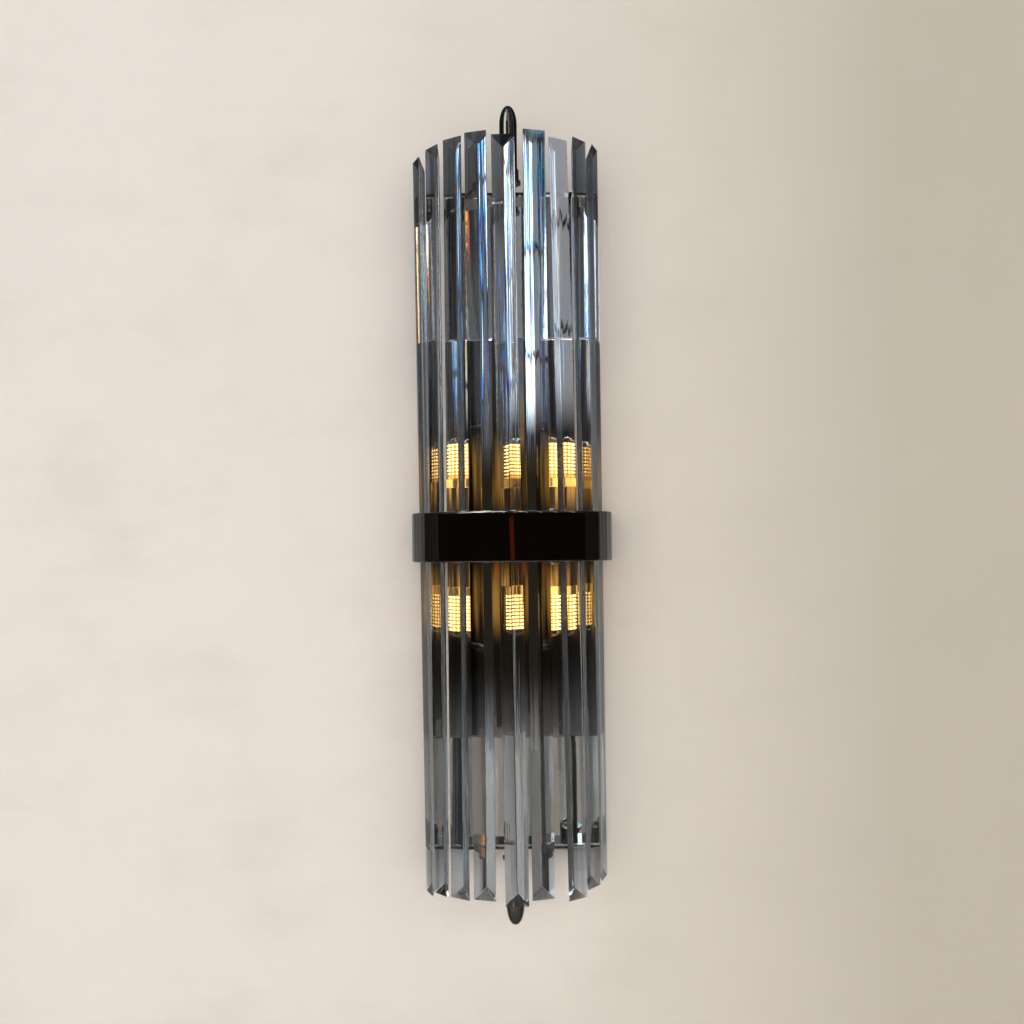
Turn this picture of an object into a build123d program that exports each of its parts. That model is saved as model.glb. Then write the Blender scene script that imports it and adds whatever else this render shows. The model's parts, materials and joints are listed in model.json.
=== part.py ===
from build123d import *
import math
import os

os.makedirs("parts", exist_ok=True)

# Crystal wall sconce: nine long triangular crystals stand in a half-round drum,
# held at the waist by a black-nickel band, with two lamps above the band and two below it.
#
# Frame, in millimetres: the wall is the plane Y = 0 and the sconce stands out towards -Y.
# Z is up, X = 0 is the middle, and Z = 0 is the middle of the band, where the bracket is fixed.

# ------------------------------------------------------------------ crystals
axis_standoff = 18        # drum axis in front of the wall
rod_length = 538          # of the flat front, which is the longest side of a crystal
rod_side = 17             # width of the flat front
rod_height = 7            # from the flat front back to the ridge
rod_back_radius = 61      # circle that the ridges stand on, behind the flat fronts
rod_middle = 16           # middle of the crystals above the middle of the band
rod_end_slope = 50        # the ends slope back from the front to the ridge, in degrees
rod_bevel = 0.4           # ground edges
# Angle of each crystal round the drum at its two ends, from the left to the right.
rod_angles_top = [-71, -55.5, -36.3, -20.2, -3.6, 15.4, 30.6, 48.2, 69.6]
rod_angles_bottom = [-68.5, -50.5, -34.5, -18, 1.3, 16.8, 41, 56.5, 74.5]
# How far each end stands out of the drum, and how far each crystal hangs below the others.
rod_out_top = [4.5, 0, 0, 0, 0, 0, 0, 0, 0]
rod_out_bottom = [-1, 0, 0, 0, 0, 0, 0, 0, 0]
rod_drop = [5.5, 1.2, 0.3, -1, 2.4, -1.3, 2.7, -1.3, -2.5]

# ------------------------------------------------------------------ band
band_front_gap = 4        # between the flat fronts of the crystals and the inside of the band
band_wall = 3
band_height = 36
band_wall_gap = 1         # between the ends of the band and the wall
band_edge_round = 1.2
band_lug_length = 11
band_lug_width = 5
lug_angles = [-84, 26, 86]  # in the wide gap right of the middle and outside the outer crystals
band_lug_height = 5
lug_screw_spare = 1       # depth left under a screw in its lug

# ------------------------------------------------------------------ waist plates
plate_thickness = 1.5
plate_recess = 2          # below the edge of the band
plate_fit = 0.2           # round the outside of a plate and round the box
plate_back_gap = 5        # between the wings of a plate and the wall
window_clearance = 0.5    # round a crystal in its window
tab_width = 16
tab_height = 10
tab_offset = 32           # middle of a tab from the middle of the lamp
tab_screw_drop = 6        # screw in the tab, from the plate
ring_wall = 1.2           # inner wall between the plates
ring_back = 17            # its edges, in front of the wall
pad_thickness = 2         # pad between the inner wall and a crystal
pad_width = 10
pad_end_gap = 1
pad_fit = 0.1
ring_fit = 0.5            # between the pads and the inner wall
spacer_width = 7
spacer_places = [(14, -60), (42, -32)]

# ------------------------------------------------------------------ wall bracket
bracket_width = 40
bracket_height = 190
bracket_thickness = 2
wall_screw_spacing = 120
wall_slot_length = 14
wall_slot_width = 5.2
cable_hole_radius = 9
stud_radius = 2
stud_offset = 82          # stud from the middle of the bracket
stud_flange_radius = 3.2
stud_flange_thickness = 0.8
stud_reach = 6            # past the front of the box

# ------------------------------------------------------------------ chassis and box
chassis_side_gap = 13     # between the sides of the box and the circle of the ridges
chassis_thickness = 1.5
chassis_flange = 12.5     # depth of the bent ends
chassis_flange_inset = 2  # flange narrower than the plate on each side
chassis_window_width = 26
chassis_window_height = 142
box_height = 300
box_depth = 18.5
box_wall = 1.2
box_edge_round = 2

# ------------------------------------------------------------------ yokes and column
yoke_inset_top = 25       # inner face of a yoke from the ends of the crystals
yoke_inset_bottom = 21
yoke_thickness = 2
yoke_bar_gap = 0.5        # between the bar of a yoke and the chassis
yoke_bar_width = 12
spoke_width = 8
hub_radius = 9
column_standoff = 42      # column axis in front of the wall
column_radius = 5
spigot_radius = 4
spigot_grip = 22          # length of spigot inside a finial
column_nut_width = 13
column_nut_height = 9
finial_radius = 6.5
finial_nose = 14
nose_fullness = (1.3, 0.8)  # how the nose leaves the side and meets the tip
finial_reach_top = 33.5   # tip of the finial past the ends of the crystals
finial_reach_bottom = 28.5
finial_bore_spare = 2

# ------------------------------------------------------------------ fasteners
screw_play = 0.2          # clearance hole round a screw
thread_play = 0.05        # threaded hole round a screw
thread_spare = 1          # depth left beyond the end of a screw
small_screw = 1.5         # shank radii
medium_screw = 2
yoke_screw = 2.5
small_head = 2.8
medium_head = 4
yoke_head = 4.6
small_head_height = 1.9
medium_head_height = 2.4
yoke_head_height = 2.8
key_share = 0.5           # width of the key recess as a share of the head's width
key_depth_share = 0.6     # its depth as a share of the head's height
yoke_screw_offset = 40
yoke_nut_radius = 5.5
yoke_nut_length = 15
yoke_nut_bore = 9
stud_nut_radius = 4
stud_nut_length = 10
nut_width = 7
nut_height = 3.2

# ------------------------------------------------------------------ lampholders and lamps
lamp_offset = 29          # lamp axis from the middle, on each side
holder_radius = 8.5
holder_height = 20
holder_foot_length = 31
holder_foot_width = 11
holder_foot_thickness = 3
holder_screw_offset = 11
lead_hole_radius = 6
pin_spacing = 9
pin_width = 3.2
pin_thickness = 1
pin_length = 12
pin_play = 0.7
pin_pocket_spare = 1
lamp_seat_gap = 0.3       # between a lamp and its holder
lamp_base_radius = 7.2
lamp_base_height = 6.2
cover_radius = 7.6
cover_wall = 0.8
cover_length = 30.5
core_radius = 6.2
core_waist = 4.6
core_rib_pitch = 2.6
core_rib_count = 10
core_rib_height = 1.5

# ------------------------------------------------------------------ wiring
wire_radius = 0.7
wire_spacing = 3
wire_bend = 3
grommet_bore = 5.8
grommet_radius = 8.5
grommet_neck = 7
grommet_lip = 1.5
terminal_width = 28
terminal_height = 17
terminal_depth = 15
terminal_side_gap = 2.8   # to the side of the box
terminal_drop = 40        # middle of the block below the middle of the box
terminal_pole_spacing = 9
terminal_screw_radius = 2
terminal_screw_height = 3
terminal_well_depth = 6
terminal_well_play = 0.3
earth_screw_drop = 35     # earth screw below the middle of the terminal block

# ------------------------------------------------------------------ places worked out
rod_top = rod_middle + rod_length / 2
rod_bottom = rod_middle - rod_length / 2
rod_count = len(rod_angles_top)
rod_numbers = range(rod_count)
band_radius = rod_back_radius + rod_height + band_front_gap + band_wall
chassis_width = 2 * (rod_back_radius - chassis_side_gap)
terminal_x = chassis_width / 2 - box_wall - terminal_side_gap - terminal_width / 2
terminal_z = -terminal_drop
earth_z = terminal_z - earth_screw_drop
plate_outer = band_height / 2 - plate_recess
plate_inner = plate_outer - plate_thickness
chassis_back = bracket_thickness
chassis_front = chassis_back + chassis_thickness
box_front = chassis_front + box_depth
yoke_top = rod_top - yoke_inset_top
yoke_bottom = rod_bottom + yoke_inset_bottom
yoke_back = chassis_front + yoke_bar_gap
ring_radius = rod_back_radius - pad_thickness - pad_fit - ring_fit
holder_top = plate_outer + holder_height
lamp_seat = holder_top + lamp_seat_gap
cover_start = lamp_seat + lamp_base_height
top_seat = yoke_top + yoke_thickness + column_nut_height
bottom_seat = yoke_bottom - yoke_thickness
finial_length_top = rod_top + finial_reach_top - top_seat
finial_length_bottom = bottom_seat - rod_bottom + finial_reach_bottom


def drum_point(radius, angle, height):
    """A point at a radius and an angle round the drum axis; 0 degrees faces the room."""
    turn = math.radians(angle)
    return Vector(radius * math.sin(turn), -axis_standoff - radius * math.cos(turn), height)


def rod_plane(index, height):
    """A plane on a crystal's ridge at a height: Z along the crystal, -Y towards its front."""
    top_radius = rod_back_radius + rod_out_top[index]
    bottom_radius = rod_back_radius + rod_out_bottom[index]
    top = drum_point(top_radius, rod_angles_top[index], rod_top)
    bottom = drum_point(bottom_radius, rod_angles_bottom[index], rod_bottom)
    along = (top - bottom).normalized()
    turn = math.radians((rod_angles_top[index] + rod_angles_bottom[index]) / 2)
    across = Vector(math.cos(turn), math.sin(turn), 0)
    across = (across - along * across.dot(along)).normalized()
    origin = bottom + along * ((height - bottom.Z) / along.Z)
    return Plane(origin=origin, x_dir=across, z_dir=along)


def crystal_outline(clearance):
    """The triangle of a crystal, in the sketch that is open."""
    with BuildLine() as outline:
        Polyline((-rod_side / 2, -rod_height), (rod_side / 2, -rod_height), (0, 0), close=True)
    make_face(outline.edges())
    if clearance:
        offset(amount=clearance, kind=Kind.ARC)


def drum_outline(radius, back, mode=Mode.ADD):
    """A half disc round the drum axis with straight sides back to a plane near the wall."""
    with BuildLine() as outline:
        Line((-radius, -back), (-radius, -axis_standoff))
        front = (0, -axis_standoff - radius)
        ThreePointArc((-radius, -axis_standoff), front, (radius, -axis_standoff))
        Line((radius, -axis_standoff), (radius, -back))
        Line((radius, -back), (-radius, -back))
    make_face(outline.edges(), mode=mode)


def section_plane(plane):
    """The plane that holds the normal of another one: its Y runs along that normal."""
    return Plane(plane.origin, x_dir=plane.x_dir, z_dir=plane.x_dir.cross(plane.z_dir))


def screw(plane, shank, length, head, head_height):
    """A button-head screw, added to the open part; the plane is the seat of its head."""
    dome_radius = (head ** 2 + head_height ** 2) / (2 * head_height)
    half_angle = math.asin(head / dome_radius) / 2
    half_way = (dome_radius * math.sin(half_angle),
                head_height - dome_radius * (1 - math.cos(half_angle)))
    with BuildSketch(section_plane(plane)) as profile:
        with BuildLine():
            Polyline((0, head_height), (0, -length), (shank, -length), (shank, 0), (head, 0))
            ThreePointArc((head, 0), half_way, (0, head_height))
        make_face()
    revolve(profile.sketch, axis=Axis(plane.origin, plane.z_dir))
    with BuildSketch(plane.offset(head_height)) as key:
        RegularPolygon(head * key_share, 6)
    extrude(key.sketch, amount=-head_height * key_depth_share, mode=Mode.SUBTRACT)


def cap_nut(plane, radius, length, bore, bore_depth):
    """A domed nut, added to the open part; the plane is its seat."""
    shoulder = length - radius
    slant = radius * math.sqrt(0.5)
    with BuildSketch(section_plane(plane)) as profile:
        with BuildLine():
            Polyline((0, length), (0, bore_depth), (bore, bore_depth), (bore, 0),
                     (radius, 0), (radius, shoulder))
            ThreePointArc((radius, shoulder), (slant, shoulder + slant), (0, length))
        make_face()
    revolve(profile.sketch, axis=Axis(plane.origin, plane.z_dir))


def wire(points):
    """A wire with round bends, added to the open part."""
    with BuildLine() as route:
        FilletPolyline(*points, radius=wire_bend)
    start = Plane(origin=route.line @ 0, z_dir=route.line % 0)
    with BuildSketch(start) as section:
        Circle(wire_radius)
    sweep(section.sketch, path=route.line)


# ------------------------------------------------------------------ crystals
for index in rod_numbers:
    middle = rod_plane(index, rod_middle - rod_drop[index])
    front = middle.y_dir * -rod_height
    top_normal = middle.z_dir * math.cos(math.radians(rod_end_slope)) \
        + middle.y_dir * math.sin(math.radians(rod_end_slope))
    bottom_normal = top_normal - middle.z_dir * 2 * math.cos(math.radians(rod_end_slope))
    with BuildPart() as crystal:
        with BuildSketch(middle.offset(-rod_length / 2)):
            crystal_outline(0)
        extrude(amount=rod_length)
        split(bisect_by=Plane(middle.offset(rod_length / 2).origin + front, z_dir=top_normal),
              keep=Keep.BOTTOM)
        split(bisect_by=Plane(middle.offset(-rod_length / 2).origin + front, z_dir=bottom_normal),
              keep=Keep.BOTTOM)
        chamfer(crystal.edges(), rod_bevel)
    crystal.part.label = f"crystal_{index + 1}"
    export_step(crystal.part, f"parts/crystal_{index + 1}.step")

# ------------------------------------------------------------------ band
with BuildPart() as band:
    with BuildSketch(Plane.XY.offset(-band_height / 2)):
        drum_outline(band_radius, band_wall_gap)
        drum_outline(band_radius - band_wall, 0, mode=Mode.SUBTRACT)
    extrude(amount=band_height)
    rims = band.faces().filter_by(Axis.Z).edges()
    fillet(rims, band_edge_round)
    with BuildSketch(Plane.XY.offset(plate_inner - band_lug_height)):
        for angle in lug_angles:
            middle = drum_point(band_radius - band_wall / 2 - band_lug_length / 2, angle, 0)
            with Locations((middle.X, middle.Y)):
                Rectangle(band_lug_length, band_lug_width, rotation=angle - 90)
    extrude(amount=band_lug_height)
    for angle in lug_angles:
        lug_screw = drum_point(band_radius - band_lug_length / 2 - band_wall, angle, plate_inner)
        with Locations(lug_screw):
            Hole(small_screw + thread_play, depth=band_lug_height)
band.part.label = "band"
export_step(band.part, "parts/band.step")

with BuildPart() as band_screws:
    for angle in lug_angles:
        seat = drum_point(band_radius - band_lug_length / 2 - band_wall, angle, plate_outer)
        screw(Plane(seat), small_screw, plate_thickness + band_lug_height - lug_screw_spare,
              small_head, small_head_height)
band_screws.part.label = "band_screws"
export_step(band_screws.part, "parts/band_screws.step")

# ------------------------------------------------------------------ waist plates
# The upper plate and its mirror image carry the crystals, the band and the lampholders.
side_signs = (-1, 1)
for plate_name, face in (("upper", 1), ("lower", -1)):
    outer_face = Plane.XY.offset(face * plate_outer)
    inner_face = Plane.XY.offset(face * plate_inner)
    with BuildPart() as waist_plate:
        with BuildSketch(inner_face):
            drum_outline(band_radius - band_wall - plate_fit, plate_back_gap)
            with Locations((0, -box_front / 2)):
                Rectangle(chassis_width + 2 * plate_fit, box_front, mode=Mode.SUBTRACT)
            with Locations((0, -column_standoff)):
                Circle(column_radius + plate_fit, mode=Mode.SUBTRACT)
            for side in side_signs:
                with Locations((side * lamp_offset, -column_standoff)):
                    Circle(lead_hole_radius, mode=Mode.SUBTRACT)
                for place in (-holder_screw_offset, holder_screw_offset):
                    with Locations((side * lamp_offset, -column_standoff + place)):
                        Circle(small_screw + screw_play, mode=Mode.SUBTRACT)
                for across, forward in spacer_places:
                    with Locations((side * across, forward)):
                        Circle(small_screw + screw_play, mode=Mode.SUBTRACT)
        extrude(amount=face * plate_thickness)
        for index in rod_numbers:
            with BuildSketch(rod_plane(index, -plate_outer * 2)):
                crystal_outline(window_clearance)
            extrude(amount=plate_outer * 4, mode=Mode.SUBTRACT)
        if face > 0:
            for angle in lug_angles:
                lug_screw = drum_point(band_radius - band_lug_length / 2 - band_wall, angle,
                                       plate_outer)
                with Locations(lug_screw):
                    Hole(small_screw + screw_play, depth=plate_thickness)
        with BuildSketch(Plane.XZ.offset(box_front)):
            for side in side_signs:
                with Locations((side * tab_offset, face * (plate_outer - tab_height / 2))):
                    Rectangle(tab_width, tab_height)
                with Locations((side * tab_offset, face * (plate_outer - tab_screw_drop))):
                    Circle(medium_screw + screw_play, mode=Mode.SUBTRACT)
        extrude(amount=plate_thickness)
    waist_plate.part.label = f"waist_plate_{plate_name}"
    export_step(waist_plate.part, f"parts/waist_plate_{plate_name}.step")

with BuildPart() as tab_screws:
    for side in side_signs:
        for face in side_signs:
            seat = (side * tab_offset, -box_front - plate_thickness,
                    face * (plate_outer - tab_screw_drop))
            screw(Plane(seat, x_dir=(1, 0, 0), z_dir=(0, -1, 0)), medium_screw,
                  plate_thickness + box_wall + nut_height, medium_head, medium_head_height)
tab_screws.part.label = "tab_screws"
export_step(tab_screws.part, "parts/tab_screws.step")

with BuildPart() as tab_nuts:
    with BuildSketch(Plane.XZ.offset(box_front - box_wall)):
        for side in side_signs:
            for face in side_signs:
                with Locations((side * tab_offset, face * (plate_outer - tab_screw_drop))):
                    RegularPolygon(nut_width / 2, 6, major_radius=False)
                    Circle(medium_screw + thread_play, mode=Mode.SUBTRACT)
    extrude(amount=-nut_height)
tab_nuts.part.label = "tab_nuts"
export_step(tab_nuts.part, "parts/tab_nuts.step")

with BuildPart() as inner_wall:
    with BuildSketch(Plane.XY.offset(-plate_inner)):
        drum_outline(ring_radius, ring_back)
        drum_outline(ring_radius - ring_wall, 0, mode=Mode.SUBTRACT)
    extrude(amount=2 * plate_inner)
inner_wall.part.label = "inner_wall"
export_step(inner_wall.part, "parts/inner_wall.step")

with BuildPart() as crystal_pads:
    for index in rod_numbers:
        waist = rod_plane(index, 0)
        back = Plane(waist.origin + waist.y_dir * pad_fit, x_dir=waist.x_dir, z_dir=waist.y_dir)
        with BuildSketch(back):
            Rectangle(pad_width, 2 * (plate_inner - pad_end_gap))
        extrude(amount=pad_thickness)
crystal_pads.part.label = "crystal_pads"
export_step(crystal_pads.part, "parts/crystal_pads.step")

with BuildPart() as waist_spacers:
    with BuildSketch(Plane.XY.offset(-plate_inner)):
        for side in side_signs:
            for across, forward in spacer_places:
                with Locations((side * across, forward)):
                    RegularPolygon(spacer_width / 2, 6, major_radius=False)
                    Circle(small_screw + thread_play, mode=Mode.SUBTRACT)
    extrude(amount=2 * plate_inner)
waist_spacers.part.label = "waist_spacers"
export_step(waist_spacers.part, "parts/waist_spacers.step")

with BuildPart() as spacer_screws:
    for side in side_signs:
        for across, forward in spacer_places:
            for face in side_signs:
                seat = Plane((side * across, forward, face * plate_outer), z_dir=(0, 0, face))
                screw(seat, small_screw, plate_inner / 2, small_head, small_head_height)
spacer_screws.part.label = "spacer_screws"
export_step(spacer_screws.part, "parts/spacer_screws.step")

# ------------------------------------------------------------------ wall bracket
with BuildPart() as wall_bracket:
    with BuildSketch(Plane.XZ):
        RectangleRounded(bracket_width, bracket_height, bracket_width / 4)
        with Locations((0, -wall_screw_spacing / 2), (0, wall_screw_spacing / 2)):
            SlotOverall(wall_slot_length, wall_slot_width, rotation=90, mode=Mode.SUBTRACT)
        Circle(cable_hole_radius, mode=Mode.SUBTRACT)
    extrude(amount=bracket_thickness)
wall_bracket.part.label = "wall_bracket"
export_step(wall_bracket.part, "parts/wall_bracket.step")

with BuildPart() as bracket_studs:
    with BuildSketch(Plane.XZ.offset(bracket_thickness)):
        with Locations((0, -stud_offset), (0, stud_offset)):
            Circle(stud_flange_radius)
    extrude(amount=stud_flange_thickness)
    with BuildSketch(Plane.XZ.offset(bracket_thickness)):
        with Locations((0, -stud_offset), (0, stud_offset)):
            Circle(stud_radius)
    extrude(amount=box_front - bracket_thickness + stud_reach)
bracket_studs.part.label = "bracket_studs"
export_step(bracket_studs.part, "parts/bracket_studs.step")

# ------------------------------------------------------------------ chassis and box
with BuildPart() as chassis_plate:
    with BuildSketch(Plane.XZ.offset(chassis_back)):
        with Locations((0, (yoke_top + yoke_bottom) / 2)):
            Rectangle(chassis_width, yoke_top - yoke_bottom)
        Rectangle(chassis_window_width, chassis_window_height, mode=Mode.SUBTRACT)
        with Locations((0, -stud_offset), (0, stud_offset)):
            Circle(stud_flange_radius + screw_play, mode=Mode.SUBTRACT)
        with Locations((terminal_x, earth_z)):
            Circle(medium_screw + thread_play, mode=Mode.SUBTRACT)
    extrude(amount=chassis_thickness)
    for height, face in ((yoke_top, 1), (yoke_bottom, -1)):
        with BuildSketch(Plane.XY.offset(height)):
            with Locations((0, -chassis_front - chassis_flange / 2)):
                Rectangle(chassis_width - 2 * chassis_flange_inset, chassis_flange)
            with Locations((-yoke_screw_offset, -yoke_back - yoke_bar_width / 2),
                           (yoke_screw_offset, -yoke_back - yoke_bar_width / 2)):
                Circle(yoke_screw + screw_play, mode=Mode.SUBTRACT)
        extrude(amount=-face * chassis_thickness)
chassis_plate.part.label = "chassis_plate"
export_step(chassis_plate.part, "parts/chassis_plate.step")

with BuildPart() as cover_box:
    with BuildSketch(Plane.XZ.offset(chassis_front)):
        Rectangle(chassis_width, box_height)
    extrude(amount=box_depth)
    front_face = cover_box.faces().sort_by(Axis.Y)[0]
    corners = cover_box.edges().filter_by(Axis.Y)
    fillet(front_face.edges() + corners, box_edge_round)
    with BuildSketch(Plane.XZ.offset(chassis_front)):
        Rectangle(chassis_width - 2 * box_wall, box_height - 2 * box_wall)
    extrude(amount=box_depth - box_wall, mode=Mode.SUBTRACT)
    with BuildSketch(Plane.XZ.offset(chassis_front)):
        Circle(grommet_neck)
        with Locations((0, -stud_offset), (0, stud_offset)):
            Circle(stud_radius + screw_play)
        for side in side_signs:
            for face in side_signs:
                with Locations((side * tab_offset, face * (plate_outer - tab_screw_drop))):
                    Circle(medium_screw + screw_play)
    extrude(amount=box_depth, mode=Mode.SUBTRACT)
cover_box.part.label = "cover_box"
export_step(cover_box.part, "parts/cover_box.step")

with BuildPart() as box_cap_nuts:
    for height in (-stud_offset, stud_offset):
        cap_nut(Plane((0, -box_front, height), x_dir=(1, 0, 0), z_dir=(0, -1, 0)),
                stud_nut_radius, stud_nut_length, stud_radius + thread_play, stud_reach + 0.5)
box_cap_nuts.part.label = "box_cap_nuts"
export_step(box_cap_nuts.part, "parts/box_cap_nuts.step")

with BuildPart() as cable_grommet:
    with BuildSketch(section_plane(Plane((0, -box_front, 0), x_dir=(1, 0, 0), z_dir=(0, -1, 0)))):
        with BuildLine():
            Polyline((grommet_bore, grommet_lip), (grommet_radius, grommet_lip),
                     (grommet_radius, 0), (grommet_neck - thread_play, 0),
                     (grommet_neck - thread_play, -box_wall), (grommet_radius, -box_wall),
                     (grommet_radius, -box_wall - grommet_lip),
                     (grommet_bore, -box_wall - grommet_lip), close=True)
        make_face()
    revolve(axis=Axis((0, 0, 0), (0, 1, 0)))
cable_grommet.part.label = "cable_grommet"
export_step(cable_grommet.part, "parts/cable_grommet.step")

# ------------------------------------------------------------------ yokes
# A bar across each end of the chassis, with a spoke forward to the column.
for yoke_name, height, face in (("top", yoke_top, 1), ("bottom", yoke_bottom, -1)):
    with BuildPart() as yoke:
        with BuildSketch(Plane.XY.offset(height)):
            with Locations((0, -yoke_back - yoke_bar_width / 2)):
                Rectangle(chassis_width, yoke_bar_width)
            with Locations((0, -(yoke_back + column_standoff) / 2)):
                Rectangle(spoke_width, column_standoff - yoke_back)
            with Locations((0, -column_standoff)):
                Circle(hub_radius)
                Circle(spigot_radius + screw_play, mode=Mode.SUBTRACT)
            with Locations((-yoke_screw_offset, -yoke_back - yoke_bar_width / 2),
                           (yoke_screw_offset, -yoke_back - yoke_bar_width / 2)):
                Circle(yoke_screw + screw_play, mode=Mode.SUBTRACT)
        extrude(amount=face * yoke_thickness)
    yoke.part.label = f"yoke_{yoke_name}"
    export_step(yoke.part, f"parts/yoke_{yoke_name}.step")

with BuildPart() as yoke_screws:
    for height, face in ((yoke_top, 1), (yoke_bottom, -1)):
        for side in side_signs:
            seat = (side * yoke_screw_offset, -yoke_back - yoke_bar_width / 2,
                    height + face * yoke_thickness)
            screw(Plane(seat, z_dir=(0, 0, face)), yoke_screw,
                  yoke_thickness + chassis_thickness + yoke_nut_bore - thread_spare,
                  yoke_head, yoke_head_height)
yoke_screws.part.label = "yoke_screws"
export_step(yoke_screws.part, "parts/yoke_screws.step")

with BuildPart() as yoke_cap_nuts:
    for height, face in ((yoke_top, 1), (yoke_bottom, -1)):
        for side in side_signs:
            seat = (side * yoke_screw_offset, -yoke_back - yoke_bar_width / 2,
                    height - face * chassis_thickness)
            cap_nut(Plane(seat, z_dir=(0, 0, -face)), yoke_nut_radius, yoke_nut_length,
                    yoke_screw + thread_play, yoke_nut_bore)
yoke_cap_nuts.part.label = "yoke_cap_nuts"
export_step(yoke_cap_nuts.part, "parts/yoke_cap_nuts.step")

# ------------------------------------------------------------------ column and finials
spigot_top = yoke_thickness + column_nut_height + spigot_grip
spigot_bottom = yoke_thickness + spigot_grip
with BuildPart() as column:
    with BuildSketch(Plane.XY.offset(yoke_bottom)):
        with Locations((0, -column_standoff)):
            Circle(column_radius)
    extrude(amount=yoke_top - yoke_bottom)
    with BuildSketch(Plane.XY.offset(yoke_bottom - spigot_bottom)):
        with Locations((0, -column_standoff)):
            Circle(spigot_radius)
    extrude(amount=yoke_top - yoke_bottom + spigot_top + spigot_bottom)
column.part.label = "column"
export_step(column.part, "parts/column.step")

with BuildPart() as column_nut:
    with BuildSketch(Plane.XY.offset(yoke_top + yoke_thickness)):
        with Locations((0, -column_standoff)):
            RegularPolygon(column_nut_width / 2, 6, major_radius=False)
            Circle(spigot_radius + thread_play, mode=Mode.SUBTRACT)
    extrude(amount=column_nut_height)
column_nut.part.label = "column_nut"
export_step(column_nut.part, "parts/column_nut.step")

for finial_name, height, face, length in (("top", top_seat, 1, finial_length_top),
                                          ("bottom", bottom_seat, -1, finial_length_bottom)):
    seat = Plane((0, -column_standoff, height), z_dir=(0, 0, face))
    bore = spigot_radius + thread_play
    bore_depth = spigot_grip + finial_bore_spare
    with BuildPart() as finial:
        with BuildSketch(section_plane(seat)):
            with BuildLine():
                Polyline((0, length), (0, bore_depth), (bore, bore_depth), (bore, 0),
                         (finial_radius, 0), (finial_radius, length - finial_nose))
                Spline((finial_radius, length - finial_nose), (0, length),
                       tangents=((0, 1), (-1, 0)), tangent_scalars=nose_fullness)
            make_face()
        revolve(axis=Axis(seat.origin, seat.z_dir))
    finial.part.label = f"finial_{finial_name}"
    export_step(finial.part, f"parts/finial_{finial_name}.step")

# ------------------------------------------------------------------ lampholders and lamps
lamp_places = (("upper_left", -1, 1), ("upper_right", 1, 1),
               ("lower_left", -1, -1), ("lower_right", 1, -1))
for lamp_name, side, face in lamp_places:
    foot = Plane((side * lamp_offset, -column_standoff, face * plate_outer), x_dir=(1, 0, 0),
                 z_dir=(0, 0, face))
    holder_end = foot.offset(holder_height)
    seat = foot.offset(holder_height + lamp_seat_gap)
    cover_foot = seat.offset(lamp_base_height)

    with BuildPart() as lampholder:
        with BuildSketch(foot):
            SlotOverall(holder_foot_length, holder_foot_width, rotation=90)
            with Locations((0, -holder_screw_offset), (0, holder_screw_offset)):
                Circle(small_screw + screw_play, mode=Mode.SUBTRACT)
        extrude(amount=holder_foot_thickness)
        with BuildSketch(foot):
            Circle(holder_radius)
        extrude(amount=holder_height)
        with BuildSketch(holder_end):
            with Locations((-pin_spacing / 2, 0), (pin_spacing / 2, 0)):
                Rectangle(pin_thickness + 2 * pin_play, pin_width + 2 * pin_play)
        extrude(amount=-pin_length - pin_pocket_spare, mode=Mode.SUBTRACT)
        # The counterbores let the heads of the fixing screws stand clear of the body.
        with BuildSketch(foot.offset(holder_foot_thickness)):
            with Locations((0, -holder_screw_offset), (0, holder_screw_offset)):
                Circle(small_head + screw_play)
        extrude(amount=holder_height, mode=Mode.SUBTRACT)
    lampholder.part.label = f"lampholder_{lamp_name}"
    export_step(lampholder.part, f"parts/lampholder_{lamp_name}.step")

    with BuildPart() as lamp_base:
        with BuildSketch(seat):
            Circle(lamp_base_radius)
        extrude(amount=lamp_base_height)
        fillet(lamp_base.edges().sort_by(Axis.Z)[0 if face > 0 else -1], lamp_base_radius / 8)
    lamp_base.part.label = f"lamp_base_{lamp_name}"
    export_step(lamp_base.part, f"parts/lamp_base_{lamp_name}.step")

    with BuildPart() as lamp_pins:
        with BuildSketch(seat):
            with Locations((-pin_spacing / 2, 0), (pin_spacing / 2, 0)):
                Rectangle(pin_thickness, pin_width)
        extrude(amount=-pin_length)
    lamp_pins.part.label = f"lamp_pins_{lamp_name}"
    export_step(lamp_pins.part, f"parts/lamp_pins_{lamp_name}.step")

    with BuildPart() as lamp_core:
        with BuildSketch(cover_foot):
            Circle(core_waist)
        extrude(amount=core_rib_pitch * core_rib_count)
        for rib in range(core_rib_count):
            rib_foot = (rib + 0.5) * core_rib_pitch - core_rib_height / 2
            with BuildSketch(cover_foot.offset(rib_foot)):
                Circle(core_radius)
            extrude(amount=core_rib_height)
    lamp_core.part.label = f"lamp_core_{lamp_name}"
    export_step(lamp_core.part, f"parts/lamp_core_{lamp_name}.step")

    shoulder = cover_length - cover_radius
    inside = cover_radius - cover_wall
    outer_slant = cover_radius * math.sqrt(0.5)
    inner_slant = inside * math.sqrt(0.5)
    with BuildPart() as lamp_cover:
        with BuildSketch(section_plane(cover_foot)):
            with BuildLine():
                Polyline((0, cover_length - cover_wall), (0, cover_length))
                ThreePointArc((0, cover_length), (outer_slant, shoulder + outer_slant),
                              (cover_radius, shoulder))
                Polyline((cover_radius, shoulder), (cover_radius, 0), (inside, 0),
                         (inside, shoulder))
                ThreePointArc((inside, shoulder), (inner_slant, shoulder + inner_slant),
                              (0, cover_length - cover_wall))
            make_face()
        revolve(axis=Axis(cover_foot.origin, cover_foot.z_dir))
    lamp_cover.part.label = f"lamp_cover_{lamp_name}"
    export_step(lamp_cover.part, f"parts/lamp_cover_{lamp_name}.step")

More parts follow.
